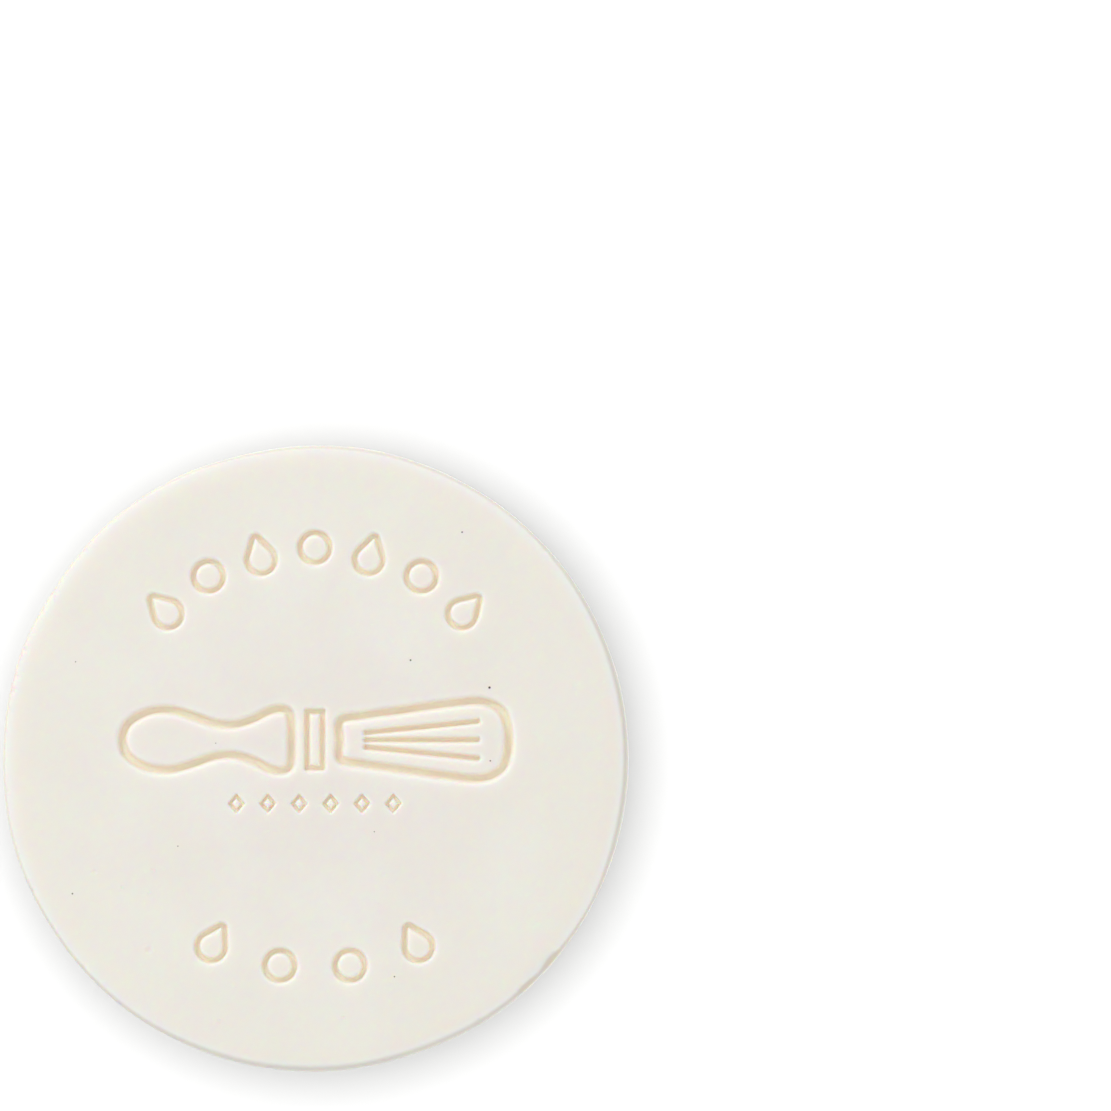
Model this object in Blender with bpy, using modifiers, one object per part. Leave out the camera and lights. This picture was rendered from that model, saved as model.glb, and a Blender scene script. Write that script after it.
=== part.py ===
"""Shaving soap puck: a round, hard, pressed cake of soap with a stamped upper face.

The puck is one solid. Its frame: metres, origin at the centre of the flat base, +Z up through
the stamped face, +X to the right of the stamp and +Y to its top.

The stamp is drawn as strokes, each a round-bottomed groove pressed into the face: an arc of
drops and bubbles along the top, a shaving brush lying across the middle, a row of small
lozenges under it, and a second, shorter arc of drops and bubbles along the bottom.
"""

import math

import bmesh
import bpy

MM = 0.001

# The cake
DIAMETER = 78.0 * MM
THICKNESS = 20.0 * MM
SHOULDER_RADIUS = 1.0 * MM      # rounding of the upper and the lower rim
SHOULDER_STEPS = 4              # facets across each rounding
TURN_STEPS = 128                # facets around the cake
FLAT_ANGLE = math.radians(0.5)  # faces closer than this to one plane are merged into one face
MERGE_DISTANCE = 0.01 * MM

# The stamp's strokes
BOLD_STROKE = 1.25 * MM
MEDIUM_STROKE = 0.85 * MM
FINE_STROKE = 0.5 * MM
STROKE_LIFT = 0.06 * MM         # height of a stroke's axis above the face
STROKE_SIDES = 2                # bevel resolution: eight sides
STROKE_LENGTH = 0.9 * MM        # longest straight piece of a curved stroke
DROP_TIP_STEPS = 2

# The arcs of drops and bubbles
TOP_ARC_RADIUS = 26.3 * MM
TOP_ARC_STEP = math.radians(15.1)
TOP_ARC_MARKS = 7
BOTTOM_ARC_RADIUS = 26.0 * MM
BOTTOM_ARC_STEP = math.radians(19.3)
BOTTOM_ARC_MARKS = 4
MARK_HEIGHT = 4.7 * MM
DROP_WIDTH = 3.5 * MM
DROP_TIP_RADIUS = 0.45 * MM
BUBBLE_DIAMETER = 3.7 * MM

# The shaving brush
BRUSH_CENTRE_Y = 2.4 * MM
HANDLE_OUTLINE = [(-23.9, 0.0), (-23.2, 2.0), (-20.9, 3.4), (-18.0, 3.7), (-15.2, 3.0), (-12.6, 2.1),
                  (-10.0, 1.9), (-7.6, 2.6), (-5.6, 3.6), (-3.9, 3.8), (-3.0, 2.9), (-2.9, 0.0)]
KNOT_OUTLINE = [(3.1, 0.0), (3.2, 2.4), (6.0, 3.0), (11.0, 3.7), (16.0, 4.4), (20.5, 4.8),
                (23.0, 3.8), (23.9, 2.0), (24.1, 0.0)]
FERRULE_LENGTH = 1.9 * MM
FERRULE_HEIGHT = 7.0 * MM
HAIR_START = 6.4 * MM
HAIR_END = 20.2 * MM
HAIR_SPREAD = [(-0.9, -2.3), (0.0, 0.0), (0.9, 2.3)]   # height of each hair line at its start and end
OUTLINE_STEPS = 3               # points added between two points of an outline

# The row of lozenges
LOZENGE_ROW_Y = -5.5 * MM
LOZENGE_COUNT = 6
LOZENGE_PITCH = 3.9 * MM
LOZENGE_HEIGHT = 1.9 * MM
LOZENGE_WIDTH = 1.6 * MM

SOAP_COLOUR = (0.83, 0.80, 0.72, 1.0)
SOAP_ROUGHNESS = 0.45


def clear_scene():
    for thing in list(bpy.data.objects):
        bpy.data.objects.remove(thing, do_unlink=True)


def new_collection(name):
    collection = bpy.data.collections.new(name)
    bpy.context.scene.collection.children.link(collection)
    return collection


def soap_material():
    material = bpy.data.materials.new("pressed_soap")
    material.use_nodes = True
    shader = material.node_tree.nodes["Principled BSDF"]
    shader.inputs["Base Color"].default_value = SOAP_COLOUR
    shader.inputs["Roughness"].default_value = SOAP_ROUGHNESS
    shader.inputs["Metallic"].default_value = 0.0
    return material


def shoulder(centre_x, centre_z, start_angle):
    """A quarter circle of the rim's profile, running clockwise from start_angle."""
    points = []
    for step in range(SHOULDER_STEPS + 1):
        angle = start_angle - 0.5 * math.pi * step / SHOULDER_STEPS
        x = centre_x + SHOULDER_RADIUS * math.cos(angle)
        z = centre_z + SHOULDER_RADIUS * math.sin(angle)
        points.append((x, 0.0, z))
    return points


def cake_profile():
    """The half section of the cake at +X, from the middle of the face to the middle of the base."""
    centre_x = 0.5 * DIAMETER - SHOULDER_RADIUS
    upper = shoulder(centre_x, THICKNESS - SHOULDER_RADIUS, 0.5 * math.pi)
    lower = shoulder(centre_x, SHOULDER_RADIUS, 0.0)
    return [(0.0, 0.0, THICKNESS)] + upper + lower + [(0.0, 0.0, 0.0)]


def turned_cake(collection):
    """The plain cake: its profile turned about Z, with each flat face merged into one polygon."""
    profile = cake_profile()
    mesh = bpy.data.meshes.new("soap_puck")
    mesh.from_pydata(profile, [(i, i + 1) for i in range(len(profile) - 1)], [])
    cake = bpy.data.objects.new("soap_puck", mesh)
    collection.objects.link(cake)
    turn = cake.modifiers.new("turn", "SCREW")
    turn.axis = "Z"
    turn.steps = TURN_STEPS
    turn.render_steps = TURN_STEPS
    turn.use_merge_vertices = True
    turn.merge_threshold = MERGE_DISTANCE
    turn.use_smooth_shade = True
    flatten = cake.modifiers.new("flatten", "DECIMATE")
    flatten.decimate_type = "DISSOLVE"
    flatten.angle_limit = FLAT_ANGLE
    return cake


def arc(centre_y, radius, start, end, steps):
    """Points from the angle start to the angle end, about (0, centre_y)."""
    angles = [start + (end - start) * i / steps for i in range(steps + 1)]
    return [(radius * math.cos(angle), centre_y + radius * math.sin(angle)) for angle in angles]


def bubble():
    radius = 0.5 * BUBBLE_DIAMETER
    steps = math.ceil(2.0 * math.pi * radius / STROKE_LENGTH)
    return arc(0.0, radius, 0.0, 2.0 * math.pi, steps)[:-1]


def drop():
    """A water drop with its tip towards +Y: a small and a large circle, joined by their tangents."""
    radius = 0.5 * DROP_WIDTH
    low = radius - 0.5 * MARK_HEIGHT
    high = 0.5 * MARK_HEIGHT - DROP_TIP_RADIUS
    slant = math.asin((radius - DROP_TIP_RADIUS) / (high - low))
    tip = arc(high, DROP_TIP_RADIUS, slant, math.pi - slant, DROP_TIP_STEPS)
    steps = math.ceil((math.pi + 2.0 * slant) * radius / STROKE_LENGTH)
    return tip + arc(low, radius, math.pi - slant, 2.0 * math.pi + slant, steps)


def lozenge():
    return [(0.0, 0.5 * LOZENGE_HEIGHT), (0.5 * LOZENGE_WIDTH, 0.0),
            (0.0, -0.5 * LOZENGE_HEIGHT), (-0.5 * LOZENGE_WIDTH, 0.0)]


def placed(points, x, y, turn=0.0):
    """The points turned anticlockwise about the origin and moved to (x, y)."""
    cos, sin = math.cos(turn), math.sin(turn)
    return [(x + cos * px - sin * py, y + sin * px + cos * py) for px, py in points]


def smoothed(points):
    """A closed outline rounded through its own points (Catmull-Rom)."""
    count = len(points)
    result = []
    for i in range(count):
        before, start, end, after = (points[(i + k) % count] for k in (-1, 0, 1, 2))
        for step in range(OUTLINE_STEPS + 1):
            t = step / (OUTLINE_STEPS + 1)
            result.append(tuple(
                0.5 * (2 * b + (c - a) * t + (2 * a - 5 * b + 4 * c - d) * t * t
                       + (3 * b - a - 3 * c + d) * t ** 3)
                for a, b, c, d in zip(before, start, end, after)))
    return result


def mirrored_outline(half):
    """A closed outline in metres from its upper half in millimetres, mirrored in the X axis."""
    upper = [(x * MM, y * MM) for x, y in half]
    lower = [(x, -y) for x, y in reversed(upper[1:-1])]
    return smoothed(upper + lower)


def arc_marks(radius, step, count, centre_angle, tip):
    """Drops and bubbles in turn from both ends of an arc. A drop's tip points away from the cake's
    centre where tip is 1, and towards it where tip is -1."""
    marks = []
    for i in range(count):
        angle = centre_angle - tip * step * (i - 0.5 * (count - 1))
        from_end = min(i, count - 1 - i)
        mark = drop() if from_end % 2 == 0 else bubble()
        turn = angle - 0.5 * math.pi * tip
        marks.append(placed(mark, radius * math.cos(angle), radius * math.sin(angle), turn))
    return marks


def brush_outlines():
    outlines = [mirrored_outline(HANDLE_OUTLINE), mirrored_outline(KNOT_OUTLINE)]
    return [placed(outline, 0.0, BRUSH_CENTRE_Y) for outline in outlines]


def ferrule():
    x, y = 0.5 * FERRULE_LENGTH, 0.5 * FERRULE_HEIGHT
    return placed([(-x, y), (x, y), (x, -y), (-x, -y)], 0.0, BRUSH_CENTRE_Y)


def hair_lines():
    lines = [[(HAIR_START, start * MM), (HAIR_END, end * MM)] for start, end in HAIR_SPREAD]
    return [placed(line, 0.0, BRUSH_CENTRE_Y) for line in lines]


def lozenge_row():
    first = -0.5 * LOZENGE_PITCH * (LOZENGE_COUNT - 1)
    return [placed(lozenge(), first + i * LOZENGE_PITCH, LOZENGE_ROW_Y) for i in range(LOZENGE_COUNT)]


def stroke_curve(name, strokes, width, closed):
    """Each stroke as a round bar of the given width, with its axis just above the face."""
    curve = bpy.data.curves.new(name, "CURVE")
    curve.dimensions = "3D"
    curve.twist_mode = "Z_UP"
    curve.bevel_depth = 0.5 * width
    curve.bevel_resolution = STROKE_SIDES
    curve.use_fill_caps = True
    for stroke in strokes:
        spline = curve.splines.new("POLY")
        spline.points.add(len(stroke) - 1)
        for point, (x, y) in zip(spline.points, stroke):
            point.co = (x, y, THICKNESS + STROKE_LIFT, 1.0)
        spline.use_cyclic_u = closed
    return bpy.data.objects.new(name, curve)


def stroke_cutter(name, strokes, width, collection, closed=True):
    """A mesh that cuts the strokes' grooves."""
    bars = stroke_curve(name, strokes, width, closed)
    collection.objects.link(bars)
    evaluated = bars.evaluated_get(bpy.context.evaluated_depsgraph_get())
    mesh = bpy.data.meshes.new_from_object(evaluated)
    welded = bmesh.new()
    welded.from_mesh(mesh)
    bmesh.ops.remove_doubles(welded, verts=welded.verts, dist=MERGE_DISTANCE)
    bmesh.ops.recalc_face_normals(welded, faces=welded.faces)
    welded.to_mesh(mesh)
    welded.free()
    cutter = bpy.data.objects.new(name + "_cutter", mesh)
    cutter.matrix_world = bars.matrix_world
    bpy.data.objects.remove(bars, do_unlink=True)
    collection.objects.link(cutter)
    cutter.hide_render = True
    cutter.display_type = "WIRE"
    return cutter


def stamp_cutters(collection):
    top_arc = arc_marks(TOP_ARC_RADIUS, TOP_ARC_STEP, TOP_ARC_MARKS, 0.5 * math.pi, 1)
    bottom_arc = arc_marks(BOTTOM_ARC_RADIUS, BOTTOM_ARC_STEP, BOTTOM_ARC_MARKS, 1.5 * math.pi, -1)
    return [
        stroke_cutter("arc_marks", top_arc + bottom_arc, MEDIUM_STROKE, collection),
        stroke_cutter("brush", brush_outlines(), BOLD_STROKE, collection),
        stroke_cutter("brush_ferrule", [ferrule()], MEDIUM_STROKE, collection),
        stroke_cutter("brush_hairs", hair_lines(), MEDIUM_STROKE, collection, closed=False),
        stroke_cutter("lozenges", lozenge_row(), FINE_STROKE, collection),
    ]


def press_stamp(cake, cutters):
    for cutter in cutters:
        cut = cake.modifiers.new(cutter.name, "BOOLEAN")
        cut.operation = "DIFFERENCE"
        cut.object = cutter


def main():
    clear_scene()
    parts = new_collection("shaving_soap_puck")
    cutters = new_collection("cutters")
    cake = turned_cake(parts)
    cake.data.materials.append(soap_material())
    press_stamp(cake, stamp_cutters(cutters))


main()
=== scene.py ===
"""The looks of the shaving soap puck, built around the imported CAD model.

One piece, soap_cake, is the fine surface of the puck and stands for the CAD node soap_puck. Its
face is a triangulated height field with the pressed stamp, and its rims, wall and base are a grid
wrapped around it. Lengths are in millimetres until the mesh is written; the row frame is in metres.
"""

import math

import bpy
import numpy as np
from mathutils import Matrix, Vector, kdtree, noise
from mathutils.geometry import delaunay_2d_cdt

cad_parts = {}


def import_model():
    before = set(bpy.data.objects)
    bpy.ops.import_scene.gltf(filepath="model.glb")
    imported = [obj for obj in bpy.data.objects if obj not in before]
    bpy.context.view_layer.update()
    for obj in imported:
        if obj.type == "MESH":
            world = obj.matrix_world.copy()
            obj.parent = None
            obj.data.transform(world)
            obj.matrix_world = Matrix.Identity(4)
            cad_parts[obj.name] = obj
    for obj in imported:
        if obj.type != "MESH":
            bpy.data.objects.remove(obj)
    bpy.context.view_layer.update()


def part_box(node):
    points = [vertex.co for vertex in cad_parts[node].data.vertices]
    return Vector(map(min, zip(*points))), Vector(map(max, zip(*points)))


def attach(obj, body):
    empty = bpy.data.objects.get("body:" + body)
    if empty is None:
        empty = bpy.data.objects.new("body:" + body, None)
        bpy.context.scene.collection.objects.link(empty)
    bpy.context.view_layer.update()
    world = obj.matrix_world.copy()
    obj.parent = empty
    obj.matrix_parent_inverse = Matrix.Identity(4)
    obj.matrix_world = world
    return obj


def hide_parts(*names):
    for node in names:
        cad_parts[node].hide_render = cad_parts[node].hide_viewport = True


NODE = "soap_puck"
MM = 0.001

# The cake's section
RIM_RADIUS = 1.0            # rounding of the lower rim, and of the upper one before its changes
# Where the upper rim is tighter or wider: angle, spread (degrees) and change of radius (mm)
RIM_CHANGES = [(145, 85, -0.65), (48, 20, -0.35), (332, 10, -0.40), (266, 24, 0.30)]
CROWN_START = 27.0          # radius at which the face starts to fall
CROWN_DROP = 0.05
SHOULDER_WIDTH = 2.0        # the last stretch of the face, which bends down into the rim
SHOULDER_DROP = 0.12
WALL_INSET = 0.08           # the wall's distance inside the parting ridge, whose crest touches the box
RIDGE_DEPTH = 2.2           # how far the ridge's crest lies under the face
RIDGE_HALF_HEIGHT = 0.16
RIDGE_SHARES = (-1.0, -0.6, -0.25, 0.0, 0.25, 0.6, 1.0)     # its rows, in half heights from the crest
WALL_BULGE = 0.06           # how far the wall stands out at half of its height
# Where the outline departs from a circle: angle, spread (degrees) and height (mm)
OUTLINE_WAVES = [(147, 9, -0.24), (177, 12, -0.18), (102, 7, -0.12), (290, 10, -0.22),
                 (77, 8, 0.10), (125, 12, 0.10), (198, 8, 0.08), (233, 14, 0.12), (258, 7, 0.08)]

# The side's grid
COLUMNS = 960
UPPER_RIM_ROWS = 12
WALL_ROWS = 12
LOWER_RIM_ROWS = 6
BASE_RINGS = (0.9, 0.55, 0.2)       # in shares of the flat base's radius

# Faults in the edge
# Flats: angle and slope (degrees), width (mm) and hollow (per mm)
FLATS = [(-40.6, 34, 1.25, 0.055), (-46.9, 38, 1.15, 0.050), (143.0, 24, 0.75, 0.006)]
FLAT_SOFTNESS = 0.07        # rounding where a flat meets the face
FLAT_STREAKS = 0.035        # height of the drag marks that run across a flat
STREAK_WIDTH = 0.45
FLAT_SHADE_START = -0.02        # height taken off by a flat at which its painted shade starts
FLAT_SHADE_FULL = 0.22          # and at which it is complete
# Nicks: angle (degrees), inset from the wall, size and depth (mm)
NICKS = [(42.2, 0.35, 0.30, 0.16), (39.8, 0.25, 0.24, 0.12), (27.7, 0.90, 0.32, 0.12),
         (18.4, 0.60, 0.26, 0.12), (137.5, 0.30, 0.34, 0.14), (147.5, 0.35, 0.38, 0.20),
         (151.5, 0.30, 0.26, 0.16), (159.2, 0.45, 0.26, 0.22), (164.5, 0.38, 0.30, 0.20),
         (167.2, 0.42, 0.34, 0.22), (171.0, 0.60, 0.24, 0.12), (186.0, 0.50, 0.26, 0.14),
         (205.0, 0.35, 0.30, 0.16), (213.0, 0.30, 0.26, 0.12), (222.0, 0.35, 0.30, 0.16),
         (283.0, 0.50, 0.26, 0.10), (302.0, 0.45, 0.30, 0.12)]
NICK_MARGIN = 0.2           # how far below the upper rim a nick still cuts

# Where the edge's painted reflection and painted shade lie
PALE_START = 0.2            # inset from the wall up to which the painted cool reflection is strongest
PALE_BAND = 1.8             # and at which it has the face's colour
PALE_FADE = (1.0, 4.0)      # depths below the face between which the painted reflection fades out
RIM_SHADE_FULL = 0.45             # share of the upper rim's turn after which its painted shade is complete
RIM_SHADE_FADE = (0.35, 2.0)      # depths below the face between which the rim's painted shade fades out

# The stamp, laid out as in the CAD model
BOLD_STROKE = 1.25
MEDIUM_STROKE = 0.85
FINE_STROKE = 0.5
TOP_ARC_RADIUS = 26.3
TOP_ARC_STEP = math.radians(15.1)
TOP_ARC_MARKS = 7
BOTTOM_ARC_RADIUS = 26.0
BOTTOM_ARC_STEP = math.radians(19.3)
BOTTOM_ARC_MARKS = 4
MARK_HEIGHT = 4.7
DROP_WIDTH = 3.5
DROP_TIP_RADIUS = 0.45
BUBBLE_DIAMETER = 3.7
BRUSH_CENTRE_Y = 2.4
HANDLE_OUTLINE = [(-23.9, 0.0), (-23.2, 2.0), (-20.9, 3.4), (-18.0, 3.7), (-15.2, 3.0), (-12.6, 2.1),
                  (-10.0, 1.9), (-7.6, 2.6), (-5.6, 3.6), (-3.9, 3.8), (-3.0, 2.9), (-2.9, 0.0)]
KNOT_OUTLINE = [(3.1, 0.0), (3.2, 2.4), (6.0, 3.0), (11.0, 3.7), (16.0, 4.4), (20.5, 4.8),
                (23.0, 3.8), (23.9, 2.0), (24.1, 0.0)]
FERRULE_LENGTH = 1.9
FERRULE_HEIGHT = 7.0
HAIR_START = 6.4
HAIR_END = 20.2
HAIR_SPREAD = [(-0.9, -2.3), (0.0, 0.0), (0.9, 2.3)]
LOZENGE_ROW_Y = -5.5
LOZENGE_COUNT = 6
LOZENGE_PITCH = 3.9
LOZENGE_HEIGHT = 1.9
LOZENGE_WIDTH = 1.6

# The grooves' section
GROOVE_DEPTH = 0.90         # depth of a bold stroke
DEPTH_POWER = 0.6           # how the depth follows a stroke's width
WAIST = 0.42                # half of a groove's width at half of its depth, in stroke widths
GROOVE_POWER = 7            # steepness of a groove's walls
GROOVE_REACH = 3.6          # distance in half widths at which a groove's effect ends
FLOOR_SHARE = 0.88          # half width of the painted shade on a groove's floor, in half widths of the groove
LIP_PLACE = 1.8             # where the painted highlight lies beside a groove, in half widths
LIP_SPREAD = 0.8
SAG_DEPTH = 0.06            # how far the face is drawn down beside a bold stroke
SAG_REACH = 1.1             # distance in half widths over which that fades
SAG_BEND = 6.0              # how tightly that fall bends at the groove's edge

# Sample points
STROKE_STEP = 0.20          # distance between samples along a stroke
ARC_STEPS = 4               # the fewest steps in an arc
SHARP_TURN = math.radians(20.0)     # a corner that turns by more gets a fan of samples
OFFSETS = (0.0, 0.3, 0.55, 0.72, 0.84, 0.93, 1.02, 1.12, 1.25, 1.45, 1.75, 2.2, 2.9)    # in half widths
OFFSET_SLACK = 0.02         # how far a line of samples may stray towards its stroke
FAN_POINTS = 8              # the fewest samples round a corner
GRID_STEP = 0.72
GRID_GAP = 0.6              # gap between the grid and finer samples, in grid steps
CLEARANCE = 0.03            # samples closer than this are thinned out
MERGE_DISTANCE = 1e-6       # at which the triangulation would merge points
INNER_RINGS = [(0.2, 1), (0.45, 2), (0.8, 3), (1.2, 4)]   # inset from the face's edge, and stride
SPOT_RINGS = ((0.5, 6), (0.9, 10), (1.3, 12), (1.8, 12), (2.6, 12))     # radius in spot radii, and count

# Noise layers: height, width of a feature, and seed
FACE_WAVES = [(0.030, 13.0, 11.0), (0.010, 5.0, 23.0), (0.0035, 1.7, 31.0)]
WIDTH_CHANGES = [(0.05, 1.1, 3.0)]                          # of a groove, in shares of its width
DEPTH_CHANGES = [(0.18, 3.1, 41.0), (0.05, 0.6, 47.0)]      # in shares of its depth
WALL_DRAG = [(0.012, 0.9, 5.0)]
RIPPLE_HEIGHT = 0.05        # of the wall's ripples, which change with the height as well
RIPPLE_WIDTH = 6.0
RIPPLE_RISE = 4.0
STREAK_SEED = 17.0

# Specks: x, y and radius
SPECKS = [(21.7, 8.9, 0.15), (11.9, 12.3, 0.11), (18.3, 28.2, 0.10), (21.8, -0.2, 0.09),
          (-29.7, 12.1, 0.07), (7.4, -9.0, 0.07), (-12.3, 2.0, 0.06), (-30.1, -16.7, 0.10),
          (9.9, -27.0, 0.09), (-17.0, -10.8, 0.07)]
SPECK_EDGE = (0.6, 1.3)     # in shares of a speck's radius
SPECK_DEPTH = 0.5           # in speck radii
# Pits: x, y, radius and depth
PITS = [(-20.6, -23.7, 0.45, 0.10), (-20.2, -13.8, 0.30, 0.05), (-27.3, -14.0, 0.30, 0.05),
        (-23.9, -15.9, 0.22, 0.05), (-20.6, -16.6, 0.22, 0.05), (8.3, -14.3, 0.35, 0.05),
        (32.4, 9.3, 0.5, 0.06), (-11.8, -32.6, 0.3, 0.05), (3.5, -32.1, 0.25, 0.05)]
PIT_BANK = 0.6              # height of the bank round a pit, in pit depths
BANK_PLACE = 1.3            # its place and half width, in pit radii
BANK_WIDTH = 0.35

# The soap's colours, with its painted shade, painted highlight and painted reflection
IVORY = (0.845, 0.818, 0.772, 1.0)
CREAM = (0.840, 0.820, 0.740, 1.0)
BLUSH = (0.828, 0.790, 0.742, 1.0)
# painted cool reflection along the cake's edge
EDGE_REFLECTION = (0.818, 0.826, 0.803, 1.0)
# painted shade on the upper rim
RIM_SHADE_COLOUR = (0.670, 0.660, 0.622, 1.0)
# painted highlight: a whiter colour beside each groove, where its lips catch the light
LIP_HIGHLIGHT = (0.842, 0.828, 0.808, 1.0)
# painted warm shade on the grooves' floors
GROOVE_SHADE_COLOUR = (0.98, 0.83, 0.60, 1.0)
# painted warm shade on the struck flats
FLAT_SHADE_COLOUR = (0.71, 0.645, 0.56, 1.0)
SPECK = (0.10, 0.08, 0.06, 1.0)
CREAM_RANGE = (0.018, 0.040)        # metres from the base's centre over which the cream comes in
CREAM_SHARE = 0.6
VEIN_SHARE = 0.15
PALE_FULL = 0.7             # amount of the painted reflection at which its colour is complete
LIP_SHARE = 0.6
GROOVE_SHADE_SHARE = 0.75
FLAT_SHADE_SHARE = 0.8

# The soap's grain, with scales in features per metre, and its gloss and depth of light
NOISE_DETAIL = 3.0
CLOUD_SCALE = 70.0
CLOUD_RANGE = (0.38, 0.62)
VEIN_SCALE = 260.0
VEIN_RANGE = (0.52, 0.70)
VEIN_DETAIL = 4.0
VEIN_ROUGHNESS = 0.6
GRAIN_SCALE = 1900.0
GRAIN_RELIEF = 0.25
SMEAR_SCALE = 420.0
BUMP_STRENGTH = 0.07
BUMP_DISTANCE = 0.0004      # in metres
ROUGHNESS = (0.50, 0.70)
SOAP_IOR = 1.46
SOAP_SPECULAR = 0.15
SCATTER = (1.6, 0.9, 0.35)  # how far red, green and blue light travel in the soap, in millimetres

# The floor and the lights, with sizes and places in metres
FLOOR_RADIUS = 8.0
FLOOR_SIDES = 96
FLOOR_GREY = (0.45, 0.45, 0.45, 1.0)
AIM = (0.0, 0.0, 0.02)
KEY_PLACE = (-0.78, 0.93, 0.72)
KEY_SIZE = 0.22
KEY_WATTS = 7.7
KEY_COLOUR = (1.0, 0.995, 0.985)
FILL_PLACE = (0.35, -0.5, 0.85)
FILL_SIZE = 0.8
FILL_WATTS = 1.2
FILL_COLOUR = (0.98, 0.99, 1.0)
FLOOR_SUN = 5.3
FLOOR_SUN_SPREAD = math.radians(48.0)
FLOOR_SUN_LEAN = Vector((-0.02, 0.06, 1.0))
WORLD_STRENGTH = 0.76
WORLD_COLOUR = (0.98, 0.99, 1.0, 1.0)
WHITE = (1.0, 1.0, 1.0, 1.0)

# The camera
FRAME_WIDTH = 138.5         # what the camera sees across, at the plane of the cake's outline
CAMERA_OFFSET = (29.9, 25.3)
OUTLINE_HEIGHT = 17.1
LENS = 200.0
SENSOR = 36.0
FAR_END = 100.0             # in metres


def turned(points, x, y, angle=0.0):
    """The points turned anticlockwise about the origin and moved to (x, y)."""
    cos, sin = math.cos(angle), math.sin(angle)
    return [(x + cos * px - sin * py, y + sin * px + cos * py) for px, py in points]


def arc(centre_y, radius, start, end):
    """Points from the angle start to the angle end, about (0, centre_y)."""
    steps = max(ARC_STEPS, math.ceil(abs(end - start) * radius / STROKE_STEP))
    angles = [start + (end - start) * i / steps for i in range(steps + 1)]
    return [(radius * math.cos(angle), centre_y + radius * math.sin(angle)) for angle in angles]


def bubble():
    return arc(0.0, 0.5 * BUBBLE_DIAMETER, 0.0, 2.0 * math.pi)[:-1]


def drop():
    """A water drop with its tip towards +Y: a small and a large circle, joined by their tangents."""
    radius = 0.5 * DROP_WIDTH
    low = radius - 0.5 * MARK_HEIGHT
    high = 0.5 * MARK_HEIGHT - DROP_TIP_RADIUS
    slant = math.asin((radius - DROP_TIP_RADIUS) / (high - low))
    tip = arc(high, DROP_TIP_RADIUS, slant, math.pi - slant)
    return tip + arc(low, radius, math.pi - slant, 2.0 * math.pi + slant)


def lozenge():
    return [(0.0, 0.5 * LOZENGE_HEIGHT), (0.5 * LOZENGE_WIDTH, 0.0),
            (0.0, -0.5 * LOZENGE_HEIGHT), (-0.5 * LOZENGE_WIDTH, 0.0)]


def smoothed(points):
    """A closed outline rounded through its own points (Catmull-Rom)."""
    count = len(points)
    result = []
    for i in range(count):
        before, start, end, after = (np.array(points[(i + k) % count]) for k in (-1, 0, 1, 2))
        steps = max(1, math.ceil(np.linalg.norm(end - start) / STROKE_STEP))
        for step in range(steps):
            t = step / steps
            result.append(tuple(
                0.5 * (2 * start + (end - before) * t + (2 * before - 5 * start + 4 * end - after) * t * t
                       + (3 * start - before - 3 * end + after) * t ** 3)))
    return result


def mirrored_outline(half):
    """A closed outline from its upper half, mirrored in the X axis."""
    return smoothed(half + [(x, -y) for x, y in reversed(half[1:-1])])


def arc_marks(radius, step, count, centre_angle, tip):
    """Drops and bubbles in turn from both ends of an arc. A drop's tip points away from the cake's
    centre where tip is 1, and towards it where tip is -1."""
    marks = []
    for i in range(count):
        angle = centre_angle - tip * step * (i - 0.5 * (count - 1))
        from_end = min(i, count - 1 - i)
        mark = drop() if from_end % 2 == 0 else bubble()
        turn = angle - 0.5 * math.pi * tip
        marks.append(turned(mark, radius * math.cos(angle), radius * math.sin(angle), turn))
    return marks


def divided(points, closed):
    """The same line with points no further apart than STROKE_STEP."""
    ends = points[1:] + points[:1] if closed else points[1:]
    result = []
    for start, end in zip(points, ends):
        steps = max(1, math.ceil(math.dist(start, end) / STROKE_STEP))
        for step in range(steps):
            t = step / steps
            result.append((start[0] + t * (end[0] - start[0]), start[1] + t * (end[1] - start[1])))
    if not closed:
        result.append(points[-1])
    return np.array(result)


class Stroke:
    """A groove's centreline, with half of its width and its depth."""

    def __init__(self, points, width, closed=True):
        self.points = divided(points, closed)
        self.closed = closed
        self.half = WAIST * width
        self.depth = GROOVE_DEPTH * (width / BOLD_STROKE) ** DEPTH_POWER

    def normals(self):
        """A unit normal to the line at each of its points."""
        if self.closed:
            along = np.roll(self.points, -1, axis=0) - np.roll(self.points, 1, axis=0)
        else:
            along = np.gradient(self.points, axis=0)
        along /= np.linalg.norm(along, axis=1)[:, None]
        return np.stack([-along[:, 1], along[:, 0]], axis=1)

    def corners(self):
        """The line's ends, and the points where it turns sharply."""
        if not self.closed:
            return [self.points[0], self.points[-1]]
        ahead = np.roll(self.points, -1, axis=0) - self.points
        ahead /= np.linalg.norm(ahead, axis=1)[:, None]
        behind = np.roll(ahead, 1, axis=0)
        sharp = np.sum(ahead * behind, axis=1) < math.cos(SHARP_TURN)
        return list(self.points[sharp])

    def distance(self, places):
        """The distance from each place to the line, or infinity where the groove has no effect."""
        reach = GROOVE_REACH * self.half + STROKE_STEP
        low, high = self.points.min(axis=0) - reach, self.points.max(axis=0) + reach
        near = np.all((places > low) & (places < high), axis=1)
        result = np.full(len(places), np.inf)
        if not near.any():
            return result
        ends = np.roll(self.points, -1, axis=0) if self.closed else self.points[1:]
        starts = self.points if self.closed else self.points[:-1]
        step = ends - starts
        offset = places[near][:, None, :] - starts[None, :, :]
        t = np.clip(np.sum(offset * step, axis=2) / np.sum(step * step, axis=1), 0.0, 1.0)
        gap = offset - t[:, :, None] * step[None, :, :]
        result[near] = np.sqrt(np.sum(gap * gap, axis=2)).min(axis=1)
        return result


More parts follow.
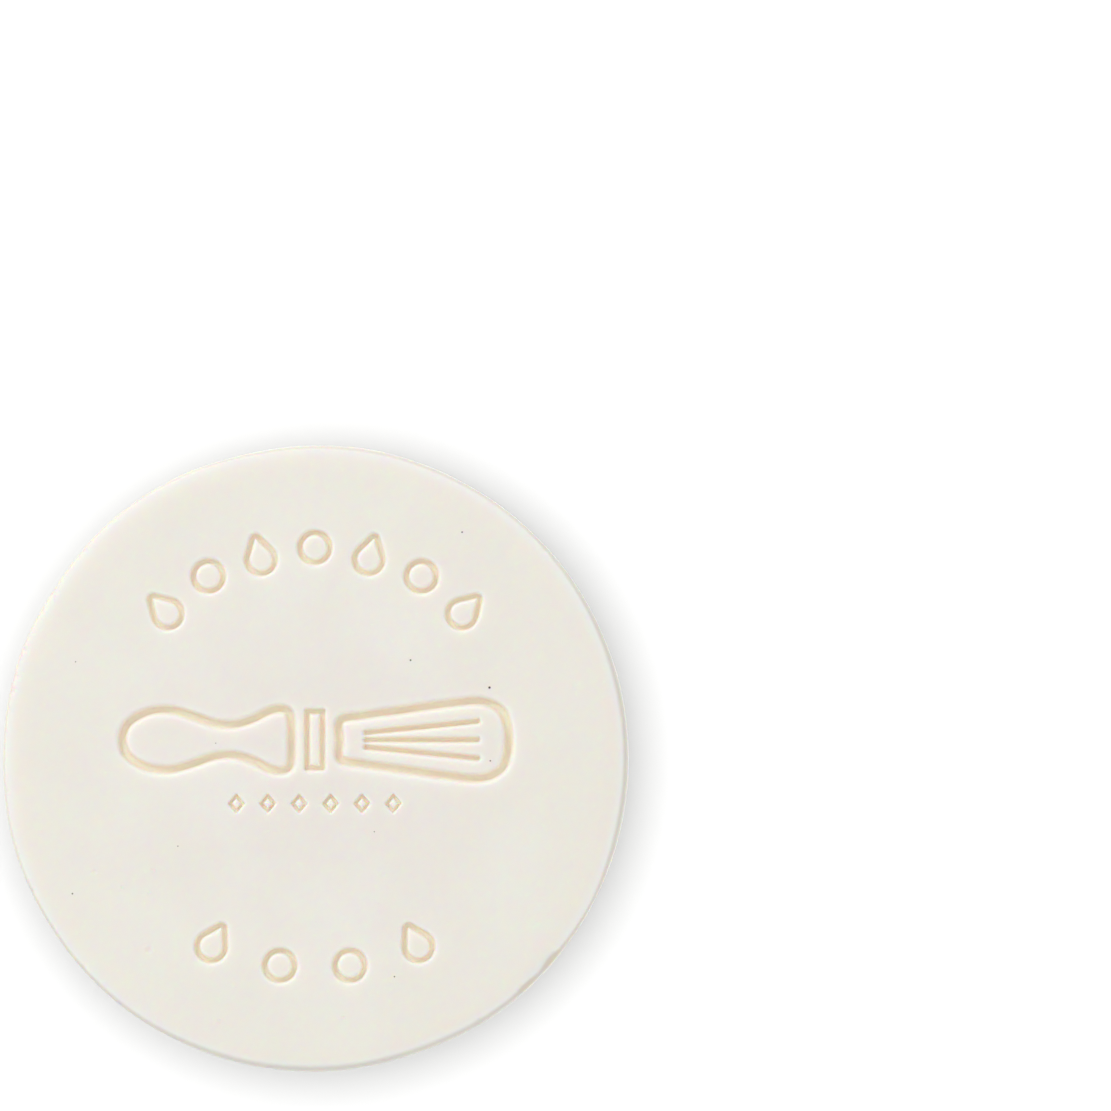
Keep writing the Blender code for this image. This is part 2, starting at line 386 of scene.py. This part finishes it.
def stamp():
    """Every stroke of the stamp."""
    ferrule = [(-0.5 * FERRULE_LENGTH, 0.5 * FERRULE_HEIGHT), (0.5 * FERRULE_LENGTH, 0.5 * FERRULE_HEIGHT),
               (0.5 * FERRULE_LENGTH, -0.5 * FERRULE_HEIGHT), (-0.5 * FERRULE_LENGTH, -0.5 * FERRULE_HEIGHT)]
    marks = arc_marks(TOP_ARC_RADIUS, TOP_ARC_STEP, TOP_ARC_MARKS, 0.5 * math.pi, 1)
    marks += arc_marks(BOTTOM_ARC_RADIUS, BOTTOM_ARC_STEP, BOTTOM_ARC_MARKS, 1.5 * math.pi, -1)
    strokes = [Stroke(mark, MEDIUM_STROKE) for mark in marks]
    for outline in (HANDLE_OUTLINE, KNOT_OUTLINE):
        strokes.append(Stroke(turned(mirrored_outline(outline), 0.0, BRUSH_CENTRE_Y), BOLD_STROKE))
    strokes.append(Stroke(turned(ferrule, 0.0, BRUSH_CENTRE_Y), MEDIUM_STROKE))
    for start, end in HAIR_SPREAD:
        line = turned([(HAIR_START, start), (HAIR_END, end)], 0.0, BRUSH_CENTRE_Y)
        strokes.append(Stroke(line, MEDIUM_STROKE, closed=False))
    first = -0.5 * LOZENGE_PITCH * (LOZENGE_COUNT - 1)
    for i in range(LOZENGE_COUNT):
        strokes.append(Stroke(turned(lozenge(), first + i * LOZENGE_PITCH, LOZENGE_ROW_Y), FINE_STROKE))
    return strokes


def smoothstep(low, high, value):
    t = np.clip((value - low) / (high - low), 0.0, 1.0)
    return t * t * (3.0 - 2.0 * t)


def noise_at(places, scale, seed):
    """Smooth noise between about -1 and 1 at each place, with features about scale across."""
    return np.array([noise.noise(Vector((x / scale, y / scale, seed))) for x, y in places])


def layered_noise(places, layers):
    """The sum of layers of smooth noise at each place."""
    return sum(height * noise_at(places, scale, seed) for height, scale, seed in layers)


def groove_relief(places, strokes):
    """The stamp's height at each place, with how much painted shade lies on a groove's floor and how much
    painted highlight on the lips beside it, from 0 to 1."""
    height = np.zeros(len(places))
    groove_floor_shade = np.zeros(len(places))
    lip = np.zeros(len(places))
    wander = 1.0 + layered_noise(places, WIDTH_CHANGES)
    uneven = 1.0 + layered_noise(places, DEPTH_CHANGES)
    for stroke in strokes:
        t = stroke.distance(places) * wander / stroke.half
        near = t < GROOVE_REACH
        t = t[near]
        cut = 1.0 / (1.0 + t ** GROOVE_POWER)
        beyond = np.log1p(np.exp(SAG_BEND * (t - 1.0))) / SAG_BEND
        sag = SAG_DEPTH * stroke.depth / GROOVE_DEPTH * np.exp(-beyond / SAG_REACH)
        depth = (stroke.depth * uneven[near] - sag) * cut + sag
        height[near] = np.minimum(height[near], -depth)
        # painted shade on the groove's floor
        groove_floor_shade[near] = np.maximum(groove_floor_shade[near], 1.0 / (1.0 + (t / FLOOR_SHARE) ** GROOVE_POWER))
        # painted highlight on the lips beside the groove
        lip[near] = np.maximum(lip[near], np.exp(-((t - LIP_PLACE) / LIP_SPREAD) ** 2))
    return height, groove_floor_shade, lip


def face_relief(places, ring_radius):
    """The face's slow waves and its fall towards the rim."""
    radius = np.linalg.norm(places, axis=1)
    crown = CROWN_DROP * np.clip((radius - CROWN_START) / (ring_radius - CROWN_START), 0.0, None) ** 2
    shoulder = SHOULDER_DROP * np.clip(1.0 - (ring_radius - radius) / SHOULDER_WIDTH, 0.0, None) ** 2
    return layered_noise(places, FACE_WAVES) - crown - shoulder


def spot_relief(places):
    """The height of pits, and the darkness of specks."""
    height = np.zeros(len(places))
    dark = np.zeros(len(places))
    for x, y, radius, depth in PITS:
        t = np.linalg.norm(places - (x, y), axis=1) / radius
        bank = PIT_BANK * np.exp(-((t - BANK_PLACE) / BANK_WIDTH) ** 2)
        height += depth * (bank - np.exp(-t * t))
    for x, y, radius in SPECKS:
        t = np.linalg.norm(places - (x, y), axis=1) / radius
        dark = np.maximum(dark, 1.0 - smoothstep(*SPECK_EDGE, t))
        height -= SPECK_DEPTH * radius * np.exp(-t * t)
    return height, dark


def spot_samples():
    """Rings of sample points around each pit and speck."""
    spots = [(x, y, radius) for x, y, radius, _ in PITS] + SPECKS
    result = []
    for x, y, radius in spots:
        result.append((x, y))
        for share, count in SPOT_RINGS:
            for i in range(count):
                angle = 2.0 * math.pi * i / count
                result.append((x + share * radius * math.cos(angle), y + share * radius * math.sin(angle)))
    return np.array(result)


def stroke_samples(strokes):
    """Sample points on lines beside each stroke, dense where the groove's section curves most."""
    result = []
    for stroke in strokes:
        normals = stroke.normals()
        for offset in OFFSETS:
            reach = offset * stroke.half
            lines = [stroke.points] if offset == 0.0 else [stroke.points + reach * normals,
                                                           stroke.points - reach * normals]
            for corner in stroke.corners():
                count = max(FAN_POINTS, math.ceil(2.0 * math.pi * reach / STROKE_STEP))
                angles = 2.0 * math.pi * np.arange(count) / count
                lines.append(corner + reach * np.stack([np.cos(angles), np.sin(angles)], axis=1))
            samples = np.concatenate(lines)
            keep = stroke.distance(samples) > reach - OFFSET_SLACK
            result.append(samples[keep])
    return np.concatenate(result)


def hex_samples(radius):
    """An even grid of sample points over a disc."""
    rows = []
    step_y = GRID_STEP * math.sqrt(0.75)
    count = math.ceil(radius / step_y)
    for j in range(-count, count + 1):
        shift = 0.5 * GRID_STEP * (j % 2)
        x = np.arange(-radius, radius, GRID_STEP) + shift
        rows.append(np.stack([x, np.full(len(x), j * step_y)], axis=1))
    return np.concatenate(rows)


def thinned(samples):
    """The samples without those that lie too close to an earlier one."""
    seen = set()
    keep = []
    for i, (x, y) in enumerate(samples):
        key = (round(x / CLEARANCE), round(y / CLEARANCE))
        if key not in seen:
            seen.add(key)
            keep.append(i)
    return samples[keep]


def face_samples(strokes, ring):
    """All sample points inside the face's ring, which is given as its points."""
    ring_radius = np.linalg.norm(ring, axis=1)
    fine = np.concatenate([stroke_samples(strokes), spot_samples()])
    grid = hex_samples(ring_radius.max())
    tree = kdtree.KDTree(len(fine))
    for i, (x, y) in enumerate(fine):
        tree.insert((x, y, 0.0), i)
    tree.balance()
    clear = [tree.find((x, y, 0.0))[2] > GRID_GAP * GRID_STEP for x, y in grid]
    inner = [(ring * (1.0 - inset / ring_radius)[:, None])[::stride] for inset, stride in INNER_RINGS]
    samples = thinned(np.concatenate([fine] + inner + [grid[clear]]))
    limit = at_angle(samples, ring_radius) - 0.5 * INNER_RINGS[0][0]
    return samples[np.linalg.norm(samples, axis=1) < limit]


def angle_from(angles, centre):
    """Degrees from centre, between -180 and 180."""
    return (np.degrees(angles) - centre + 180.0) % 360.0 - 180.0


def column_angles():
    return 2.0 * math.pi * np.arange(COLUMNS) / COLUMNS


def at_angle(places, column_values):
    """Values given for each column, read off at the angles of the places."""
    angles = np.arctan2(places[:, 1], places[:, 0]) % (2.0 * math.pi)
    closed = np.append(column_values, column_values[0])
    return np.interp(angles, np.append(column_angles(), 2.0 * math.pi), closed)


def bumps(angles, changes):
    """The sum of smooth bumps, each given by its angle, spread and height."""
    return sum(height * np.exp(-(angle_from(angles, centre) / spread) ** 2)
               for centre, spread, height in changes)


def wall_radii(box_radius):
    """The radius of the wall at each column."""
    return box_radius - WALL_INSET + bumps(column_angles(), OUTLINE_WAVES)


def upper_rim_section():
    """How far the upper rim lies inside the wall and under the face, in shares of its radius. It
    starts with the slope that the face has there."""
    start = math.atan(2.0 * SHOULDER_DROP / SHOULDER_WIDTH)
    turns = start + (0.5 * math.pi - start) * np.arange(UPPER_RIM_ROWS + 1) / UPPER_RIM_ROWS
    return 1.0 - np.sin(turns), math.cos(start) - np.cos(turns)


def wall_section(thickness):
    """The wall's rows under the upper rim, as pairs of distance outside the wall and height, with the
    parting ridge, the lower rim and the base."""
    crest = thickness - RIDGE_DEPTH
    rows = []
    for share in RIDGE_SHARES:
        rise = WALL_INSET * math.cos(0.5 * math.pi * share) ** 2
        rows.append((rise, crest - share * RIDGE_HALF_HEIGHT))
    top, bottom = crest - RIDGE_HALF_HEIGHT, RIM_RADIUS
    for i in range(1, WALL_ROWS):
        t = i / WALL_ROWS
        rows.append((WALL_BULGE * math.sin(math.pi * t), top + t * (bottom - top)))
    for i in range(LOWER_RIM_ROWS + 1):
        turn = 0.5 * math.pi * i / LOWER_RIM_ROWS
        rows.append((RIM_RADIUS * (math.cos(turn) - 1.0), RIM_RADIUS * (1.0 - math.sin(turn))))
    return np.array(rows)


def column_places(box_radius):
    """A point on the box's circle at each column, where the side's noise is read."""
    angles = column_angles()
    return box_radius * np.stack([np.cos(angles), np.sin(angles)], axis=1)


def wall_roughness(heights, box_radius):
    """The wall's ripples and drag marks at each height and column."""
    places = column_places(box_radius)
    ripple = np.array([noise_at(places, RIPPLE_WIDTH, height / RIPPLE_RISE) for height in heights])
    return layered_noise(places, WALL_DRAG)[None, :] + RIPPLE_HEIGHT * ripple


def struck(inset, angles, height, box_radius, thickness):
    """The heights once the edge's flats and nicks are struck, and the painted shade on the flats at each
    point.
    """
    flat_shade = np.zeros_like(height)
    streaks = noise_at(column_places(box_radius), STREAK_WIDTH, STREAK_SEED)
    streaks = FLAT_STREAKS * np.interp(angles, column_angles(), streaks)
    for centre, slope, width, hollow in FLATS:
        along = np.radians(angle_from(angles, centre)) * box_radius
        rise = (inset - width) * math.tan(math.radians(slope)) + hollow * along ** 2
        past = height - (thickness + rise + streaks)
        height = height - 0.5 * (past + np.sqrt(past ** 2 + FLAT_SOFTNESS ** 2))
        # painted shade where a flat cuts deep enough
        flat_shade = np.maximum(flat_shade, smoothstep(FLAT_SHADE_START, FLAT_SHADE_FULL, past))
    near_face = height > thickness - RIM_RADIUS - NICK_MARGIN
    for centre, place, size, depth in NICKS:
        along = np.radians(angle_from(angles, centre)) * box_radius
        height = height - near_face * depth * np.exp(-(along ** 2 + (inset - place) ** 2) / size ** 2)
    return height, flat_shade


def side_surface(box_radius, thickness):
    """The rims, wall and base as rows of points, with the painted shade of the flats at each point."""
    angles = column_angles()
    wall = wall_radii(box_radius)[None, :]
    rim = (RIM_RADIUS + bumps(angles, RIM_CHANGES))[None, :]
    inset, drop = (part[:, None] for part in upper_rim_section())
    outside, wall_height = (part[:, None] for part in wall_section(thickness).T)
    wall_rows = wall + outside + wall_roughness(wall_height[:, 0], box_radius) * (wall_height > RIM_RADIUS)
    base_rows = [(wall - RIM_RADIUS) * share for share in BASE_RINGS]
    r = np.concatenate([wall - inset * rim, wall_rows] + base_rows)
    z = np.concatenate([thickness - drop * rim, np.repeat(wall_height, COLUMNS, axis=1),
                        np.zeros((len(BASE_RINGS), COLUMNS))])
    around = np.stack([np.cos(angles), np.sin(angles)], axis=1)
    slopes = face_relief(r[0][:, None] * around, box_radius - WALL_INSET - RIM_RADIUS)
    z *= 1.0 + slopes[None, :] / thickness
    z, flat_shade = struck(wall - r, angles[None, :], z, box_radius, thickness)
    return np.stack([r * around[:, 0], r * around[:, 1], z], axis=2), flat_shade


def painted_edge_reflection(points, box_radius, thickness):
    """How much painted cool reflection each point has, strongest at the edge."""
    inset = at_angle(points, wall_radii(box_radius)) - np.linalg.norm(points[:, :2], axis=1)
    faded = smoothstep(*PALE_FADE, thickness - points[:, 2])
    return (1.0 - smoothstep(PALE_START, PALE_BAND, inset)) * (1.0 - faded)


def painted_rim_shade(side_points, thickness):
    """How much painted shade each of the side's points has on the upper rim."""
    rows = len(side_points) // COLUMNS
    turn = np.repeat(np.arange(rows) / UPPER_RIM_ROWS, COLUMNS)
    return smoothstep(0.0, RIM_SHADE_FULL, turn) * (1.0 - smoothstep(*RIM_SHADE_FADE, thickness - side_points[:, 2]))


def grid_faces(rows):
    """Quads between rows of COLUMNS points."""
    i = np.arange(COLUMNS)
    after = (i + 1) % COLUMNS
    faces = []
    for row in range(rows - 1):
        upper, lower = row * COLUMNS, (row + 1) * COLUMNS
        faces.append(np.stack([upper + i, lower + i, lower + after, upper + after], axis=1))
    return np.concatenate(faces).tolist()


def face_heights(places, strokes, box_radius, thickness):
    """The face's height at each place, with the painted shade of its groove floors and flats, the painted
    highlight beside its grooves, and its specks.
    """
    groove, groove_floor_shade, lip = groove_relief(places, strokes)
    spots, dark = spot_relief(places)
    slopes = face_relief(places, box_radius - WALL_INSET - RIM_RADIUS)
    inset = at_angle(places, wall_radii(box_radius)) - np.linalg.norm(places, axis=1)
    angles = np.arctan2(places[:, 1], places[:, 0]) % (2.0 * math.pi)
    height = thickness + slopes + groove + spots
    height, flat_shade = struck(inset, angles, height, box_radius, thickness)
    return height, {"groove_floor_shade": groove_floor_shade, "lip": lip, "speck": dark, "flat_shade": flat_shade}


def cake_polygons(ring, places, side_rows):
    """The face's triangles, the side's quads and the base's fan. Points are numbered row by row down
    the side, then over the face, and last comes the base's centre."""
    flat, _, faces, _, _, _ = delaunay_2d_cdt(
        [Vector(p) for p in np.concatenate([ring, places])], [], [], 0, MERGE_DISTANCE, True)
    assert len(flat) == COLUMNS + len(places), "the triangulation merged or added points"
    count_side = side_rows * COLUMNS
    renumber = [i if i < COLUMNS else i - COLUMNS + count_side for i in range(len(flat))]
    triangles = [[renumber[i] for i in face] for face in faces]
    last_row = count_side - COLUMNS
    centre = count_side + len(places)
    fan = [[last_row + (i + 1) % COLUMNS, last_row + i, centre] for i in range(COLUMNS)]
    return triangles + grid_faces(side_rows) + fan


def cake_mesh(box_radius, thickness):
    """The whole cake as one closed mesh, in metres."""
    strokes = stamp()
    side, side_flat_shade = side_surface(box_radius, thickness)
    ring = side[0][:, :2]
    places = face_samples(strokes, ring)
    height, marks = face_heights(places, strokes, box_radius, thickness)
    side_points = side.reshape(-1, 3)
    points = np.concatenate([side_points, np.column_stack([places, height]), [[0.0, 0.0, 0.0]]])
    mesh = bpy.data.meshes.new("soap_cake")
    mesh.from_pydata((points * MM).tolist(), [], cake_polygons(ring, places, len(side)))
    mesh.shade_smooth()
    on_side = {"flat_shade": side_flat_shade.ravel()}
    for name, values in marks.items():
        before = on_side.get(name, np.zeros(len(side_points)))
        add_attribute(mesh, name, np.concatenate([before, values, [0.0]]))
    # the painted shade on the upper rim
    rim_shade = painted_rim_shade(side_points, thickness)
    add_attribute(mesh, "rim_shade", np.concatenate([rim_shade, np.zeros(len(places) + 1)]))
    # the painted cool reflection along the edge
    add_attribute(mesh, "rim", painted_edge_reflection(points, box_radius, thickness))
    return mesh


def add_attribute(mesh, name, values):
    attribute = mesh.attributes.new(name, "FLOAT", "POINT")
    attribute.data.foreach_set("value", values.astype(np.float32))


class Nodes:
    """Short forms for building a material's node tree."""

    def __init__(self, material):
        self.tree = material.node_tree

    def add(self, kind, inputs=(), **settings):
        node = self.tree.nodes.new(kind)
        for name, value in settings.items():
            setattr(node, name, value)
        for name, value in dict(inputs).items():
            self.put(value, node.inputs[name])
        return node

    def put(self, value, socket):
        if isinstance(value, bpy.types.NodeSocket):
            self.tree.links.new(value, socket)
        else:
            socket.default_value = value

    def math(self, operation, a, b):
        return self.add("ShaderNodeMath", {0: a, 1: b}, operation=operation).outputs[0]

    def noise(self, vector, scale, detail=NOISE_DETAIL, roughness=0.5):
        inputs = {"Vector": vector, "Scale": scale, "Detail": detail, "Roughness": roughness}
        return self.add("ShaderNodeTexNoise", inputs).outputs["Fac"]

    def ramp(self, value, low, high):
        """value mapped from low..high to 0..1, and clamped."""
        inputs = {"Value": value, "From Min": low, "From Max": high}
        return self.add("ShaderNodeMapRange", inputs).outputs["Result"]

    def mix(self, factor, a, b):
        """Colour a, with b over it by the factor."""
        node = self.add("ShaderNodeMix", data_type="RGBA", blend_type="MIX")
        self.put(factor, node.inputs[0])
        self.put(a, node.inputs[6])
        self.put(b, node.inputs[7])
        return node.outputs[2]

    def attribute(self, name):
        return self.add("ShaderNodeAttribute", attribute_name=name).outputs["Fac"]


def soap_material():
    """Milled soap: ivory with a faint clouding, waxy and slightly translucent."""
    material = bpy.data.materials.new("milled_soap")
    material.use_nodes = True
    nodes = Nodes(material)
    shader = material.node_tree.nodes["Principled BSDF"]
    place = nodes.add("ShaderNodeTexCoord").outputs["Object"]
    nodes.put(soap_colour(nodes, place), shader.inputs["Base Color"])
    grain = nodes.noise(place, GRAIN_SCALE)
    rough = nodes.add("ShaderNodeMapRange", {"Value": grain, "To Min": ROUGHNESS[0], "To Max": ROUGHNESS[1]})
    nodes.put(rough.outputs["Result"], shader.inputs["Roughness"])
    smears = nodes.noise(place, SMEAR_SCALE)
    relief = nodes.math("ADD", nodes.math("MULTIPLY", grain, GRAIN_RELIEF), smears)
    bump_inputs = {"Height": relief, "Strength": BUMP_STRENGTH, "Distance": BUMP_DISTANCE}
    bump = nodes.add("ShaderNodeBump", bump_inputs)
    nodes.put(bump.outputs["Normal"], shader.inputs["Normal"])
    shader.inputs["IOR"].default_value = SOAP_IOR
    shader.inputs["Specular IOR Level"].default_value = SOAP_SPECULAR
    shader.inputs["Subsurface Weight"].default_value = 1.0
    shader.inputs["Subsurface Radius"].default_value = SCATTER
    shader.inputs["Subsurface Scale"].default_value = MM
    return material


def soap_colour(nodes, place):
    """Ivory with faint clouds and veins, then the painted reflection and shade of the edge, the painted
    shade and highlight of the stamp, and the painted shade of the struck flats.
    """
    clouds = nodes.noise(place, CLOUD_SCALE)
    veins = nodes.noise(place, VEIN_SCALE, VEIN_DETAIL, VEIN_ROUGHNESS)
    distance = nodes.add("ShaderNodeVectorMath", {0: place}, operation="LENGTH").outputs["Value"]
    outer = nodes.ramp(distance, *CREAM_RANGE)
    colour = nodes.mix(nodes.ramp(clouds, *CLOUD_RANGE), BLUSH, IVORY)
    colour = nodes.mix(nodes.math("MULTIPLY", outer, CREAM_SHARE), colour, CREAM)
    colour = nodes.mix(nodes.math("MULTIPLY", nodes.ramp(veins, *VEIN_RANGE), VEIN_SHARE), colour, IVORY)
    # painted cool reflection along the edge
    colour = nodes.mix(nodes.ramp(nodes.attribute("rim"), 0.0, PALE_FULL), colour, EDGE_REFLECTION)
    # painted shade on the upper rim
    colour = nodes.mix(nodes.attribute("rim_shade"), colour, RIM_SHADE_COLOUR)
    # painted highlight beside the grooves, painted shade on their floors and on the struck flats
    for name, share, paint in (("lip", LIP_SHARE, LIP_HIGHLIGHT), ("groove_floor_shade", GROOVE_SHADE_SHARE, GROOVE_SHADE_COLOUR),
                               ("flat_shade", FLAT_SHADE_SHARE, FLAT_SHADE_COLOUR)):
        colour = nodes.mix(nodes.math("MULTIPLY", nodes.attribute(name), share), colour, paint)
    return nodes.mix(nodes.attribute("speck"), colour, SPECK)


def add_cake():
    low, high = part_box(NODE)
    box_radius = 0.5 * (high[0] - low[0]) / MM
    cake = bpy.data.objects.new("soap_cake", cake_mesh(box_radius, (high[2] - low[2]) / MM))
    bpy.context.scene.collection.objects.link(cake)
    cake.data.materials.append(soap_material())
    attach(cake, "root")
    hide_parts(NODE)
    return cake


def add_floor():
    bpy.ops.mesh.primitive_circle_add(vertices=FLOOR_SIDES, radius=FLOOR_RADIUS, fill_type="NGON")
    floor = bpy.context.object
    floor.name = "floor"
    material = bpy.data.materials.new("white_floor")
    material.use_nodes = True
    shader = material.node_tree.nodes["Principled BSDF"]
    shader.inputs["Base Color"].default_value = FLOOR_GREY
    shader.inputs["Roughness"].default_value = 1.0
    shader.inputs["Specular IOR Level"].default_value = 0.0
    floor.data.materials.append(material)
    return floor


def lit_only(light, thing):
    """Makes a light shine on one object and nothing else."""
    group = bpy.data.collections.new(light.name + "_receivers")
    group.objects.link(thing)
    light.light_linking.receiver_collection = group


def add_softbox(name, place, size, watts, colour):
    """A round area light that points at the cake."""
    light = bpy.data.lights.new(name, "AREA")
    light.shape = "DISK"
    light.size = size
    light.energy = watts
    light.color = colour
    lamp = bpy.data.objects.new(name, light)
    bpy.context.scene.collection.objects.link(lamp)
    lamp.location = place
    lamp.rotation_euler = (Vector(AIM) - Vector(place)).to_track_quat("-Z", "Y").to_euler()
    lamp.visible_camera = False
    return lamp


def add_floor_sun(floor):
    """Light from overhead that whitens the floor right up to the cake's edge."""
    light = bpy.data.lights.new("floor_sun", "SUN")
    light.energy = FLOOR_SUN
    light.angle = FLOOR_SUN_SPREAD
    lamp = bpy.data.objects.new("floor_sun", light)
    bpy.context.scene.collection.objects.link(lamp)
    lamp.rotation_euler = (-FLOOR_SUN_LEAN).to_track_quat("-Z", "Y").to_euler()
    lit_only(lamp, floor)


def add_world():
    """An even pale surround: white where the camera sees it, softer as a light."""
    world = bpy.data.worlds.new("studio")
    bpy.context.scene.world = world
    world.use_nodes = True
    tree = world.node_tree
    background = tree.nodes["Background"]
    background.inputs["Color"].default_value = WORLD_COLOUR
    background.inputs["Strength"].default_value = WORLD_STRENGTH
    white = tree.nodes.new("ShaderNodeBackground")
    white.inputs["Color"].default_value = WHITE
    seen = tree.nodes.new("ShaderNodeLightPath").outputs["Is Camera Ray"]
    mix = tree.nodes.new("ShaderNodeMixShader")
    tree.links.new(seen, mix.inputs[0])
    tree.links.new(background.outputs[0], mix.inputs[1])
    tree.links.new(white.outputs[0], mix.inputs[2])
    tree.links.new(mix.outputs[0], tree.nodes["World Output"].inputs["Surface"])


def add_camera():
    """A long lens straight above the cake, which lies low and left in its frame."""
    camera = bpy.data.cameras.new("camera")
    camera.lens = LENS
    camera.sensor_width = SENSOR
    camera.clip_end = FAR_END
    seat = bpy.data.objects.new("camera", camera)
    bpy.context.scene.collection.objects.link(seat)
    height = OUTLINE_HEIGHT + FRAME_WIDTH * LENS / SENSOR
    seat.location = Vector((CAMERA_OFFSET[0], CAMERA_OFFSET[1], height)) * MM
    bpy.context.scene.camera = seat


def main():
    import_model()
    cake = add_cake()
    floor = add_floor()
    key = add_softbox("key", KEY_PLACE, KEY_SIZE, KEY_WATTS, KEY_COLOUR)
    fill = add_softbox("fill", FILL_PLACE, FILL_SIZE, FILL_WATTS, FILL_COLOUR)
    lit_only(key, cake)
    lit_only(fill, cake)
    add_floor_sun(floor)
    add_world()
    add_camera()
    bpy.context.scene.view_settings.view_transform = "Standard"


main()
